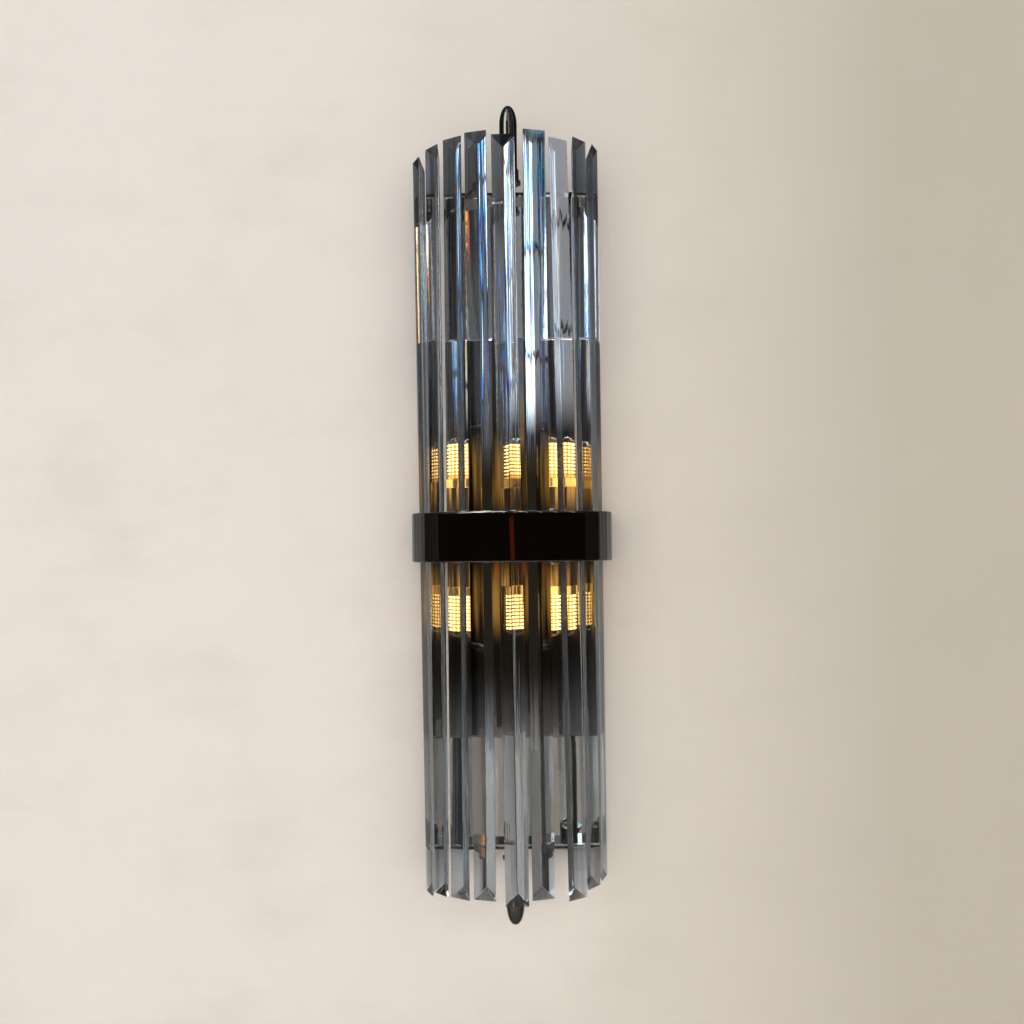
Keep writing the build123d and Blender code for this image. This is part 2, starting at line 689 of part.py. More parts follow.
with BuildPart() as holder_screws:
    for lamp_name, side, face in lamp_places:
        for place in (-holder_screw_offset, holder_screw_offset):
            seat = (side * lamp_offset, -column_standoff + place,
                    face * (plate_outer + holder_foot_thickness))
            screw(Plane(seat, z_dir=(0, 0, face)), small_screw,
                  holder_foot_thickness + plate_thickness + thread_spare,
                  small_head, small_head_height)
holder_screws.part.label = "holder_screws"
export_step(holder_screws.part, "parts/holder_screws.step")

# ------------------------------------------------------------------ wiring
# On each side a pair of straight jumpers joins the upper and the lower holder, and a pair
# of feeds runs from the upper holder through the grommet to the terminal block.
terminal_top = terminal_z + terminal_height / 2
terminal_bottom = terminal_z - terminal_height / 2
feed_depth = chassis_front + terminal_depth / 2
feeds = {"live": [], "neutral": []}
jumpers = {"live": [], "neutral": []}
for side in side_signs:
    for kind, place, pole in (("live", -1, -1), ("neutral", 1, 0)):
        holder_x = side * lamp_offset + side * place * wire_spacing
        lane_x = side * (wire_spacing / 2 if place < 0 else wire_spacing * 1.5)
        lane_depth = feed_depth + (side * place * 0.5 - place) * wire_spacing * 0.7
        pole_x = terminal_x + pole * terminal_pole_spacing + side * wire_spacing * 0.4
        jumpers[kind].append([(holder_x, -column_standoff - wire_spacing / 2, -plate_outer),
                              (holder_x, -column_standoff - wire_spacing / 2, plate_outer)])
        feeds[kind].append([(holder_x, -column_standoff + wire_spacing, plate_outer),
                            (holder_x, -column_standoff + wire_spacing, plate_inner / 2),
                            (lane_x, -box_front - 2 * wire_bend, 0),
                            (lane_x, -lane_depth, 0),
                            (pole_x, -lane_depth, terminal_top + 2 * wire_bend),
                            (pole_x, -lane_depth, terminal_top)])

with BuildPart() as live_leads:
    for start, end in jumpers["live"]:
        with BuildSketch(Plane(start)):
            Circle(wire_radius)
        extrude(amount=end[2] - start[2])
    for points in feeds["live"]:
        wire(points)
live_leads.part.label = "live_leads"
export_step(live_leads.part, "parts/live_leads.step")

with BuildPart() as neutral_leads:
    for start, end in jumpers["neutral"]:
        with BuildSketch(Plane(start)):
            Circle(wire_radius)
        extrude(amount=end[2] - start[2])
    for points in feeds["neutral"]:
        wire(points)
neutral_leads.part.label = "neutral_leads"
export_step(neutral_leads.part, "parts/neutral_leads.step")

with BuildPart() as terminal_block:
    with BuildSketch(Plane.XZ.offset(chassis_front)):
        with Locations((terminal_x, terminal_z)):
            Rectangle(terminal_width, terminal_height)
    extrude(amount=terminal_depth)
    with BuildSketch(Plane.XZ.offset(chassis_front + terminal_depth)):
        for pole in (-1, 0, 1):
            for row in side_signs:
                with Locations((terminal_x + pole * terminal_pole_spacing,
                                terminal_z + row * terminal_height / 4)):
                    Circle(terminal_screw_radius + terminal_well_play)
    extrude(amount=-terminal_well_depth, mode=Mode.SUBTRACT)
terminal_block.part.label = "terminal_block"
export_step(terminal_block.part, "parts/terminal_block.step")

with BuildPart() as terminal_screws:
    well_floor = chassis_front + terminal_depth - terminal_well_depth
    with BuildSketch(Plane.XZ.offset(well_floor)):
        for pole in (-1, 0, 1):
            for row in side_signs:
                with Locations((terminal_x + pole * terminal_pole_spacing,
                                terminal_z + row * terminal_height / 4)):
                    Circle(terminal_screw_radius)
    extrude(amount=terminal_screw_height)
    with BuildSketch(Plane.XZ.offset(well_floor + terminal_screw_height)):
        for pole in (-1, 0, 1):
            for row in side_signs:
                with Locations((terminal_x + pole * terminal_pole_spacing,
                                terminal_z + row * terminal_height / 4)):
                    Rectangle(terminal_screw_radius * 2, terminal_screw_radius / 3)
    extrude(amount=-terminal_screw_height / 3, mode=Mode.SUBTRACT)
terminal_screws.part.label = "terminal_screws"
export_step(terminal_screws.part, "parts/terminal_screws.step")

with BuildPart() as earth_screw:
    screw(Plane((terminal_x, -chassis_front, earth_z), x_dir=(1, 0, 0), z_dir=(0, -1, 0)),
          medium_screw, chassis_thickness, medium_head, medium_head_height)
earth_screw.part.label = "earth_screw"
export_step(earth_screw.part, "parts/earth_screw.step")

with BuildPart() as earth_lead:
    earth_x = terminal_x + terminal_pole_spacing
    lead_depth = chassis_front + wire_radius + 0.2
    wire([(earth_x, -feed_depth, terminal_bottom),
          (earth_x, -feed_depth, terminal_bottom - 3 * wire_bend),
          (earth_x, -lead_depth, earth_z),
          (terminal_x + medium_head + 0.1, -lead_depth, earth_z)])
earth_lead.part.label = "earth_lead"
export_step(earth_lead.part, "parts/earth_lead.step")
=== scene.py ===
# %% [markdown]
# # A crystal wall sconce
#
# The sconce is a half-round drum of nine tall glass bars held by a black-nickel band, with two
# small lamps above the band and two below it. Its hard parts come from the CAD model, which
# is loaded first as a fixed frame. This lesson gives those parts their finishes, models the ones
# that need rounder shapes than the CAD mesh has, and sets the camera, the wall and the light.

# %% Load the frame
import json
import math

import bmesh
import bpy
from mathutils import Matrix, Vector


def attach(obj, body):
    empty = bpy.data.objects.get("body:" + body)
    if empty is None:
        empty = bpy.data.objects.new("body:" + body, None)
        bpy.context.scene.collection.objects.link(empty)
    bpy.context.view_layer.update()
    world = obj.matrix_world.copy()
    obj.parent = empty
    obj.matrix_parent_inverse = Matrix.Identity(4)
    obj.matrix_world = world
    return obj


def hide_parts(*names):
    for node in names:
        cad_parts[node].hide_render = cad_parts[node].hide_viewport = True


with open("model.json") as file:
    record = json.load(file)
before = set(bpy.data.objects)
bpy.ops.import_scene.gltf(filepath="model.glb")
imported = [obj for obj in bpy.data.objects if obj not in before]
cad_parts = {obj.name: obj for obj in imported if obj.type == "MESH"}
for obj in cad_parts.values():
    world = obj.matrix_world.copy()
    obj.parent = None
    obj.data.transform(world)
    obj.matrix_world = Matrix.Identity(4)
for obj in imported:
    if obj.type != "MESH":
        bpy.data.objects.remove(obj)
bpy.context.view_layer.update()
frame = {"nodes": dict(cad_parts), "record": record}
nodes = frame["nodes"]
MM = 0.001
print("CAD nodes:", len(nodes))


def deselect_all():
    """Operators act on all that is selected, so each step starts with nothing selected."""
    if bpy.context.mode != "OBJECT":
        bpy.ops.object.mode_set(mode="OBJECT")
    bpy.ops.object.select_all(action="DESELECT")


deselect_all()

# %% [markdown]
# ## Shader maths
#
# A procedural finish is a sum of masks and noises. Written as node links that is hard to read, so
# one small class wraps a socket and lets Python's own operators add the Math nodes.

# %% A socket that can be added and multiplied


class Val:
    """A shader socket with arithmetic."""

    def __init__(self, tree, socket):
        self.tree = tree
        self.socket = socket

    def __add__(self, other):
        return self.tree.math("ADD", self, other)

    __radd__ = __add__

    def __sub__(self, other):
        return self.tree.math("SUBTRACT", self, other)

    def __rsub__(self, other):
        return self.tree.math("SUBTRACT", other, self)

    def __mul__(self, other):
        return self.tree.math("MULTIPLY", self, other)

    __rmul__ = __mul__

    def __lt__(self, other):
        return self.tree.math("LESS_THAN", self, other)


# %% [markdown]
# A second class holds the tree itself. Its add method makes any node, first with its settings and
# then with the values or links of its sockets. The other methods are the few patterns that come
# back in nearly every finish here: a noise, a soft step, a mix of two colours and a bump.

# %% A tree of nodes


class Tree:
    """A material's node tree: one method adds any node, with its settings and its inputs."""

    def __init__(self, name):
        self.material = bpy.data.materials.new(name)
        self.material.use_nodes = True
        self.nodes = self.material.node_tree.nodes
        self.links = self.material.node_tree.links
        self.nodes.clear()
        self.output = self.nodes.new("ShaderNodeOutputMaterial")

    def add(self, kind, settings=None, *values, out=0, **named):
        node = self.nodes.new(kind)
        for key, value in (settings or {}).items():
            if key == "stops":
                ramp = node.color_ramp
                while len(ramp.elements) < len(value):
                    ramp.elements.new(0.5)
                for element, (place, colour) in zip(ramp.elements, value):
                    element.position = place
                    element.color = colour
            else:
                setattr(node, key, value)
        for index, value in enumerate(values):
            self.feed(node.inputs[index], value)
        for key, value in named.items():
            self.feed(node.inputs[key.replace("_", " ")], value)
        return Val(self, node.outputs[out])

    def feed(self, socket, value):
        if isinstance(value, Val):
            self.links.new(value.socket, socket)
        elif value is not None:
            socket.default_value = value

    def math(self, operation, *values):
        return self.add("ShaderNodeMath", {"operation": operation}, *values)

    def place(self, stretch=(1, 1, 1)):
        """The point on the object, in metres, stretched along its axes."""
        spot = self.add("ShaderNodeTexCoord", None, out=3)
        return self.add("ShaderNodeMapping", None, Vector=spot, Scale=stretch)

    def axes(self, vector):
        """The three parts of a vector."""
        split = self.add("ShaderNodeSeparateXYZ", None, vector)
        return [Val(self, output) for output in split.socket.node.outputs]

    def light_path(self, *places):
        """Outputs of Light Path: 0 for camera rays, 3 for glossy ones, 6 for transmission."""
        return [self.add("ShaderNodeLightPath", None, out=place) for place in places]

    def noise(self, scale, detail=3.0, roughness=0.5, stretch=(1, 1, 1)):
        return self.add("ShaderNodeTexNoise", None, Vector=self.place(stretch), Scale=scale,
                        Detail=detail, Roughness=roughness)

    def mix(self, factor, first, second):
        node = self.nodes.new("ShaderNodeMix")
        node.data_type = "RGBA"
        self.feed(node.inputs[0], factor)
        self.feed(node.inputs[6], first)
        self.feed(node.inputs[7], second)
        return Val(self, node.outputs[2])

    def rise(self, value, low, high):
        """0 below low, 1 above high, smooth between; it falls where low is the larger one."""
        return self.add("ShaderNodeMapRange", {"interpolation_type": "SMOOTHSTEP"}, value, low,
                        high, 0.0, 1.0)

    def bump(self, height, distance, strength=1.0):
        return self.add("ShaderNodeBump", None, Height=height, Distance=distance,
                        Strength=strength)

    def surface(self, shader):
        self.links.new(shader.socket, self.output.inputs["Surface"])
        return self.material


def rgb(red, green, blue):
    return (red, green, blue, 1.0)


# %% [markdown]
# ## The camera
#
# The photograph was taken straight on, a little under the middle of the sconce, from less than a
# metre away. The picture leans by about half a degree, so the camera is rolled by as much.

# %% Camera
EYE = Vector((0.0, -0.888, -0.004))
LENS_MM = 40.6
PITCH = 1.5
ROLL = 0.56
camera_data = bpy.data.cameras.new("camera")
camera = bpy.data.objects.new("camera", camera_data)
bpy.context.scene.collection.objects.link(camera)
camera_data.lens = LENS_MM
camera_data.sensor_width = 36.0
camera.location = EYE
camera.rotation_mode = "XYZ"
camera.rotation_euler = (math.radians(90 + PITCH), math.radians(ROLL), 0.0)
bpy.context.scene.camera = camera
bpy.context.scene.view_settings.view_transform = "Standard"
print("camera at", tuple(EYE), "with a lens of", LENS_MM, "mm")

# %% [markdown]
# ## The wall
#
# The sconce hangs on a pale plaster wall. Its colour is painted brighter on the left than on the
# right, a painted shade across the wall. A picture of plaster could be laid on it, but three noises
# of different size give the same faint trowel marks without one. The cut bars of the photograph show
# the wall darker and streaked, so glass and mirrors see the wall with painted shade: darker,
# streaked, much darker above the sconce and black to either side. The wall can't be seen from
# behind, so that the sconce can be looked at from there, and it is open where the back plate covers
# it, so that light reaches the plate's back.

# %% Wall
PLATE_MIDDLE = 0.014
PLATE_HALF_HEIGHT = 0.243
PLATE_HALF_WIDTH = 0.046


def wall_material():
    tree = Tree("wall_plaster")
    across, _, height = tree.axes(tree.place())
    # Painted shade: the colour runs from a lit tone on the left to a shaded tone on the right.
    shade = tree.add("ShaderNodeMapRange", None, across, -0.35, 0.30, 0.0, 1.0)
    shade = tree.math("POWER", shade, 2.2)
    broad = tree.noise(2.6, 4.0, 0.6)
    cloud = tree.noise(8.0, 5.0, 0.6, (1, 1, 1.8))
    fine = tree.noise(38.0, 5.0, 0.6)
    painted_lit_tone = tree.mix(broad, rgb(0.73, 0.67, 0.625), rgb(0.81, 0.75, 0.70))
    painted_shaded_tone = tree.mix(broad, rgb(0.46, 0.42, 0.35), rgb(0.55, 0.50, 0.425))
    tone = tree.mix(shade, painted_lit_tone, painted_shaded_tone)
    tone = tree.mix(tree.rise(cloud, 0.45, 0.75) * 0.22, tone, rgb(0.50, 0.46, 0.41))

    # What glass and mirrors see instead: a painted shade, the wall darker and streaked, much darker
    # above the sconce and black to either side.
    mirrored = tree.math("MAXIMUM", *tree.light_path(3, 6))
    streak = tree.rise(tree.noise(55.0, 3.0, 0.6, (1, 1, 0.02)), 0.36, 0.64)
    # Painted shade: a darker wall in streaks, darker towards the top.
    low = tree.mix(streak, rgb(0.24, 0.205, 0.17), rgb(0.52, 0.54, 0.56))
    high = tree.mix(streak, rgb(0.08, 0.078, 0.078), rgb(0.34, 0.36, 0.39))
    behind = tree.mix(tree.rise(height, -0.05, 0.16), low, high)
    # Painted shade: much darker above the sconce, and black to either side of it.
    behind = tree.mix(tree.rise(height, 0.22, 0.27) * 0.65, behind, rgb(0.01, 0.01, 0.01))
    away = tree.math("ABSOLUTE", across)
    behind = tree.mix(tree.rise(away, 0.165, 0.185), behind, rgb(0.012, 0.010, 0.009))
    tone = tree.mix(mirrored, tone, behind)
    front = tree.add("ShaderNodeBsdfPrincipled", None, Base_Color=tone, Roughness=0.85,
                     Normal=tree.bump(fine, 0.0012, 0.35))

    # Where the wall lets the view and the light through: its back, and behind the plate.
    through = tree.add("ShaderNodeBsdfTransparent")
    backfacing = tree.add("ShaderNodeNewGeometry", None, out=6)
    level = tree.math("ABSOLUTE", height - PLATE_MIDDLE)
    covered = (away < PLATE_HALF_WIDTH) * (level < PLATE_HALF_HEIGHT)
    open_wall = tree.math("MAXIMUM", backfacing, covered)
    return tree.surface(tree.add("ShaderNodeMixShader", None, open_wall, front, through))


# %% [markdown]
# ## The wall and the floor as objects
#
# Both are single large planes. The floor is plain and pale and lies so low that the main picture
# doesn't show it. The views from the side, from behind and from above do.

# %% Wall and floor
STAGE_SIZE = 6.0
WALL_BACK = 0.0004
FLOOR_DROP = 1.1


def stage_plane(name, location, rotation, material):
    """A large plain surface that isn't part of the sconce."""
    deselect_all()
    bpy.ops.mesh.primitive_plane_add(size=STAGE_SIZE, location=location, rotation=rotation)
    bpy.ops.object.transform_apply(location=True, rotation=True, scale=True)
    plane = bpy.context.object
    plane.name = name
    plane.data.materials.append(material)


def floor_material():
    tree = Tree("floor_pale")
    cloud = tree.noise(3.0, 3.0, 0.5)
    tone = tree.mix(cloud, rgb(0.62, 0.58, 0.54), rgb(0.68, 0.64, 0.60))
    return tree.surface(tree.add("ShaderNodeBsdfPrincipled", None, Base_Color=tone,
                                 Roughness=0.6))


stage_plane("stage_wall", (0, WALL_BACK, 0), (math.radians(90), 0, 0), wall_material())
stage_plane("stage_floor", (0, WALL_BACK - STAGE_SIZE / 2, -FLOOR_DROP), (0, 0, 0),
            floor_material())
print("wall and floor placed")

# %% [markdown]
# ## Two soft boxes
#
# The wall's shadow beside the sconce is faint and soft on both sides, which one lamp can't give.
# Two large boxes stand left and right of the camera, the left one cooler and a little stronger.
# Glass and metal don't see them, because what those show is the room that the next steps make.

# %% Soft boxes
BOX_DISTANCE = 2.6
BOX_SIZE = 2.0


def soft_light(name, azimuth, elevation, power, colour):
    """A soft box that faces the sconce from a direction; azimuth 0 is the camera's side."""
    turn = math.radians(azimuth)
    lift = math.radians(elevation)
    place = Vector((math.sin(turn) * math.cos(lift), -math.cos(turn) * math.cos(lift),
                    math.sin(lift))) * BOX_DISTANCE
    data = bpy.data.lights.new(name, "AREA")
    data.shape = "RECTANGLE"
    data.size = BOX_SIZE
    data.size_y = BOX_SIZE
    data.energy = power
    data.color = colour
    lamp = bpy.data.objects.new(name, data)
    bpy.context.scene.collection.objects.link(lamp)
    lamp.location = place
    lamp.rotation_mode = "QUATERNION"
    lamp.rotation_quaternion = (-place).to_track_quat("-Z", "Y")
    lamp.visible_glossy = False
    lamp.visible_transmission = False
    print(name, power, "W")


soft_light("soft_box_left", -24, 8, 32.0, (0.97, 0.98, 1.0))
soft_light("soft_box_right", 26, 6, 27.0, (1.0, 0.97, 0.93))

# %% [markdown]
# ## The room that the glass and the metal mirror
#
# Cut glass has no look of its own: it shows the room. The room could be built from walls, shelves
# and window frames, but only its reflections ever show. So it is one pattern over the directions of
# the world. Azimuth and elevation are in degrees, and azimuth 0 is straight behind the camera.

# %% Directions of the room


class World(Tree):
    """The node tree of the world, with the same way of adding nodes."""

    def __init__(self, name):
        self.world = bpy.data.worlds.new(name)
        bpy.context.scene.world = self.world
        self.world.use_nodes = True
        self.nodes = self.world.node_tree.nodes
        self.links = self.world.node_tree.links
        self.nodes.clear()
        self.output = self.nodes.new("ShaderNodeOutputWorld")

    def strip(self, value, middle, half, soft):
        """1 inside a strip, 0 outside it, with soft edges."""
        away = self.math("ABSOLUTE", value - middle)
        return self.rise(away, half + soft, half)


room = World("room")
way = room.add("ShaderNodeTexCoord", None, out=0)
side, depth, lift = room.axes(way)
azimuth = room.math("ARCTAN2", side, depth * -1.0) * math.degrees(1.0)
elevation = room.math("ARCSINE", lift) * math.degrees(1.0)

# %% [markdown]
# ## The room's walls
#
# A noise along the azimuth alone makes thin upright streaks, as a shelf, a curtain and door frames
# give them. The left side is cooler and brighter than the right one. At eye level the room is
# almost black, which the dark band and the dark middle of the box show, and far below it the warm
# floor boards begin.

# %% Walls of the room
grain = room.add("ShaderNodeTexNoise", {"noise_dimensions": "1D"}, W=azimuth, Scale=0.45,
                 Detail=4.0, Roughness=0.65)
streak = room.rise(grain, 0.40, 0.60)
patch = room.rise(room.add("ShaderNodeTexNoise", None, Vector=way, Scale=5.0, Detail=3.0,
                           Roughness=0.6), 0.42, 0.60)

low_left = room.mix(streak, rgb(0.30, 0.31, 0.33), rgb(0.88, 0.92, 0.97))
low_right = room.mix(streak, rgb(0.16, 0.13, 0.10), rgb(0.62, 0.57, 0.51))
low = room.mix(room.rise(azimuth, -60.0, 40.0), low_left, low_right)
high_left = room.mix(streak, rgb(0.03, 0.03, 0.033), rgb(0.46, 0.50, 0.56))
high_right = room.mix(streak, rgb(0.012, 0.012, 0.012), rgb(0.32, 0.325, 0.34))
high = room.mix(room.rise(azimuth, -60.0, 60.0), high_left, high_right)
high = room.mix(patch * 0.45, high, rgb(0.24, 0.25, 0.27))
tone = room.mix(room.rise(elevation, 1.0, 8.0), low, high)

above_eye = room.rise(elevation, 3.0, 8.5)
below_eye = room.rise(elevation, -6.0, -12.0)
tone = room.mix(room.math("MAXIMUM", above_eye, below_eye), rgb(0.035, 0.026, 0.018), tone)
boards = room.rise(elevation, -15.0, -19.5) * room.strip(azimuth, 10.0, 50.0, 20.0)
tone = room.mix(boards, tone, rgb(1.25, 0.98, 0.74))

# %% [markdown]
# ## The pastel sheen
#
# Real cut glass spreads white light into its colours, and the photograph has pastel patches above
# the lamps. Blender's glass bends all colours alike, so the patches are painted into the room: a
# ramp of soft colours that runs to and fro over a narrow belt of the room.

# %% Sheen
SHEEN = ((0.0, rgb(0.85, 0.42, 0.25)), (0.2, rgb(0.95, 0.72, 0.35)), (0.4, rgb(0.80, 0.88, 0.70)),
         (0.6, rgb(0.50, 0.80, 0.92)), (0.8, rgb(0.42, 0.48, 0.88)), (1.0, rgb(0.82, 0.60, 0.80)))
sheen = room.add("ShaderNodeValToRGB", {"stops": SHEEN},
                 room.math("PINGPONG", azimuth * 0.21 + elevation * 0.33, 1.0))
belt = room.strip(elevation, 7.4, 2.2, 0.8) * room.rise(grain, 0.54, 0.60)
tone = room.mix(belt * 0.6, tone, sheen)

# %% [markdown]
# ## The windows
#
# The white lines in the bars are taken for windows and gaps between blinds. Each is a strip of azimuth.
# The strips are made three times, for red, green and blue, a quarter of a degree apart, which gives
# every line its coloured edges. Sloping bars cut across them, as a lattice does.

# %% Windows
WINDOWS = ((-56, 8.0), (-36, 0.9), (-21, 0.6), (-9, 0.6), (4, 0.45), (17, 0.6), (33, 0.9),
           (51, 1.2), (74, 2.0))
COLOUR_SHIFT = 0.28

lattice = room.rise(room.math("PINGPONG", elevation + azimuth * 0.35, 2.6), 0.05, 0.3)
panes = lattice * room.rise(elevation, 5.0, 8.0)
channels = []
for shift, power in ((COLOUR_SHIFT, 4.4), (0.0, 4.6), (-COLOUR_SHIFT, 5.0)):
    strips = None
    for middle, half in WINDOWS:
        strip = room.strip(azimuth + shift, middle, half, 0.4)
        strips = strip if strips is None else room.math("MAXIMUM", strips, strip)
    channels.append(strips * panes * power)
window = room.add("ShaderNodeCombineColor", None, *channels)
tone = room.add("ShaderNodeVectorMath", {"operation": "MAXIMUM"}, tone, window)
skylight = room.strip(azimuth, -25.0, 15.0, 3.0) * room.strip(elevation, 45.0, 20.0, 3.0)
tone = room.mix(skylight, tone, rgb(7.0, 7.2, 7.6))

# %% [markdown]
# ## Single reflections
#
# Two pieces show one clear thing each. The band has a leaning orange stripe near its middle. The
# tip of the upper finial has a white and a tan line. Each comes from one patch of the room. The
# stripe is at eye level, which the band shows. The finial's two windows are so high that, from the
# camera's place, the front of no bar shows them. That holds for the main picture only: from other
# places the stripe shows as orange patches in the bars.

# %% Single reflections
stripe = (room.strip(azimuth + elevation * 0.6, 0.2, 1.9, 0.8)
          * room.strip(elevation, -0.2, 1.3, 0.3))
tone = room.mix(stripe, tone, rgb(0.55, 0.10, 0.025))

high_up = room.strip(elevation, 35.2, 15.0, 0.4)
tone = room.mix(room.strip(azimuth, -41.0, 8.0, 3.0) * high_up, tone, rgb(22.0, 23.0, 21.0))
tone = room.mix(room.strip(azimuth, 11.0, 2.5, 1.5) * high_up, tone, rgb(11.0, 8.0, 4.5))

# %% [markdown]
# ## Who sees the room
#
# Only glass and metal see the pattern. The camera sees a plain pale background beside the wall, and
# the even grey that all else gets fills the shadows without colouring them.

# %% Who sees the room
camera_ray, glossy_ray, glass_ray = room.light_path(0, 3, 6)
mirrored = room.math("MAXIMUM", glossy_ray, glass_ray)
seen = room.mix(mirrored, rgb(0.30, 0.29, 0.28), tone)
seen = room.mix(camera_ray * (1.0 - mirrored), seen, rgb(0.72, 0.70, 0.67))
room.links.new(room.add("ShaderNodeBackground", None, seen, 1.0).socket,
               room.output.inputs["Surface"])
print("room nodes:", len(room.nodes))

# %% [markdown]
# ## Smoke-grey crystal
#
# The more glass the view crosses, the darker a bar gets. A grey surface colour would darken thin
# and thick places alike, so the inside of the glass swallows light instead. Drawn bars have
# slight waves along their length, which a stretched noise adds as a bump. The lamps' covers get a
# much lower index than real glass has, so that they hardly bend the view of the core inside.

# %% Glass
SMOKE = (rgb(0.20, 0.30, 0.36), 60.0)


def glass_material(name, tint, ior, smoke=None, wave=0.0):
    """Clear or smoky glass; smoke is the colour and the strength of what its inside swallows."""
    tree = Tree(name)
    normal = None
    if wave:
        normal = tree.bump(tree.noise(130.0, 3.0, 0.5, (1, 1, 0.02)), wave, 1.0)
    glass = tree.add("ShaderNodeBsdfGlass", None, Color=tint, IOR=ior, Roughness=0.0,
                     Normal=normal)
    if smoke:
        inside = tree.add("ShaderNodeVolumeAbsorption", None, *smoke)
        tree.links.new(inside.socket, tree.output.inputs["Volume"])
    return tree.surface(glass)


crystal = glass_material("crystal", rgb(0.99, 0.99, 0.99), 1.52, SMOKE, 0.00010)
lamp_glass = glass_material("lamp_glass", rgb(0.98, 0.98, 0.97), 1.12)

# %% [markdown]
# ## Metal
#
# The band, the column and the yokes are black nickel, a dark mirror. A dark plain colour would hide
# the room in it, so it is a polished metal with a low reflectance. The upper finial gets a darker
# copy of the same black nickel, which is painted shade. The box and the back plate are brighter
# mirrors, and the box has a painted glow of lamp light near the lamps' height. A plating is never
# quite even, so a stretched noise changes the gloss a little and a fine one makes the face slightly
# uneven.

# %% Metal
# Height in millimetres, above and below the middle, where the painted glow is strongest.
PAINTED_GLOW_LEVEL = 48.0


def metal_material(name, colour, dark, roughness, dimples=700.0, depth=0.000002, painted_glow=None):
    """Plated metal. A painted glow is an emission in streaks near the lamps' height, which stands for
    lamp light caught in the plating.
    """
    tree = Tree(name)
    cloud = tree.noise(30.0, 4.0, 0.6, (1, 1, 0.05))
    fine = tree.noise(dimples, 2.0, 0.5)
    tone = tree.mix(cloud, colour, dark)
    metal = tree.add("ShaderNodeBsdfPrincipled", None, Base_Color=tone, Metallic=1.0,
                     Roughness=cloud * roughness + roughness * 0.5,
                     Normal=tree.bump(fine, depth, 1.0))
    # Painted light: an emission in streaks near the lamps' height stands for lamp light caught in the
    # plating.
    if painted_glow:
        _, _, height = tree.axes(tree.place())
        height = tree.math("ABSOLUTE", height) * 1000.0
        away = tree.math("ABSOLUTE", height - PAINTED_GLOW_LEVEL)
        streak = tree.rise(tree.noise(190.0, 2.0, 0.5, (1, 1, 0.03)), 0.40, 0.66)
        inputs = metal.socket.node.inputs
        tree.feed(inputs["Emission Color"],
                  tree.mix(tree.rise(away, 34.0, 4.0) * streak, rgb(0.0, 0.0, 0.0), painted_glow))
        tree.feed(inputs["Emission Strength"], 1.0)
    return tree.surface(metal)


black_nickel = metal_material("black_nickel", rgb(0.085, 0.08, 0.077), rgb(0.065, 0.061, 0.059),
                              0.02)
# A darker copy of black nickel for the upper finial: painted shade.
painted_dark_nickel = metal_material("painted_dark_nickel", rgb(0.032, 0.031, 0.030), rgb(0.024, 0.023, 0.022),
                             0.02)
# The box gets the painted glow: an amber emission beside the lamps.
box_mirror = metal_material("box_mirror", rgb(0.26, 0.25, 0.24), rgb(0.20, 0.19, 0.185), 0.02,
                            painted_glow=rgb(0.30, 0.15, 0.03))
bright_steel = metal_material("bright_steel", rgb(0.60, 0.585, 0.565), rgb(0.50, 0.485, 0.47),
                              0.04, 420.0, 0.000012)
zinc_steel = metal_material("zinc_steel", rgb(0.55, 0.55, 0.56), rgb(0.45, 0.45, 0.46), 0.25)
brass_metal = metal_material("brass_metal", rgb(0.70, 0.52, 0.26), rgb(0.58, 0.42, 0.2), 0.25)
pin_metal = metal_material("pin_metal", rgb(0.62, 0.6, 0.56), rgb(0.5, 0.48, 0.45), 0.2)

# %% [markdown]
# ## Rubber, plastic and wire
#
# Pads, grommet, terminal block and leads hardly show. They share one finish that differs in colour
# and gloss: a fine noise mixes two close tones and roughens the face with them.

# %% Rubber, plastic and wire


def plain_material(name, colour, dark, roughness):
    """A non-metal with fine grain."""
    tree = Tree(name)
    fine = tree.noise(200.0, 4.0, 0.6)
    tone = tree.mix(fine, dark, colour)
    body = tree.add("ShaderNodeBsdfPrincipled", None, Base_Color=tone,
                    Roughness=fine * 0.15 + (roughness - 0.07),
                    Normal=tree.bump(fine, 0.0001, 0.3))
    return tree.surface(body)


pad_rubber = plain_material("clear_pad", rgb(0.6, 0.6, 0.59), rgb(0.5, 0.5, 0.49), 0.4)
black_rubber = plain_material("black_rubber", rgb(0.03, 0.03, 0.03), rgb(0.015, 0.015, 0.015), 0.6)
brown_wire = plain_material("brown_wire", rgb(0.16, 0.06, 0.03), rgb(0.1, 0.04, 0.02), 0.5)
blue_wire = plain_material("blue_wire", rgb(0.03, 0.1, 0.4), rgb(0.02, 0.07, 0.3), 0.5)
earth_wire = plain_material("earth_wire", rgb(0.4, 0.6, 0.06), rgb(0.1, 0.4, 0.05), 0.5)
terminal_plastic = plain_material("terminal_plastic", rgb(0.75, 0.74, 0.7),
                                  rgb(0.65, 0.64, 0.6), 0.4)

# %% [markdown]
# ## The glowing core of a lamp
#
# Each lamp holds a small post set with rows of light points, which the bars show as bright ribbed
# columns. Modelling every point would be slow to render. The angle round the lamp's axis and the
# height above its foot are worked out from the place on the object, and both are cut into equal
# beats. Where two beats meet the core is white-hot, and between them it is amber. The photograph
# shows the glow of the two upper lamps a little higher than the cores stand in the CAD model, so
# the lower end of these two cores stays dull.

# %% Glow
COLUMN_DEPTH = -42.0
LAMP_OFFSET = 29.0
CORE_FOOT = 42.5
RIB_PITCH = 2.6
LIGHT_COLUMNS = 12
FIRST_COLUMN = 8.25


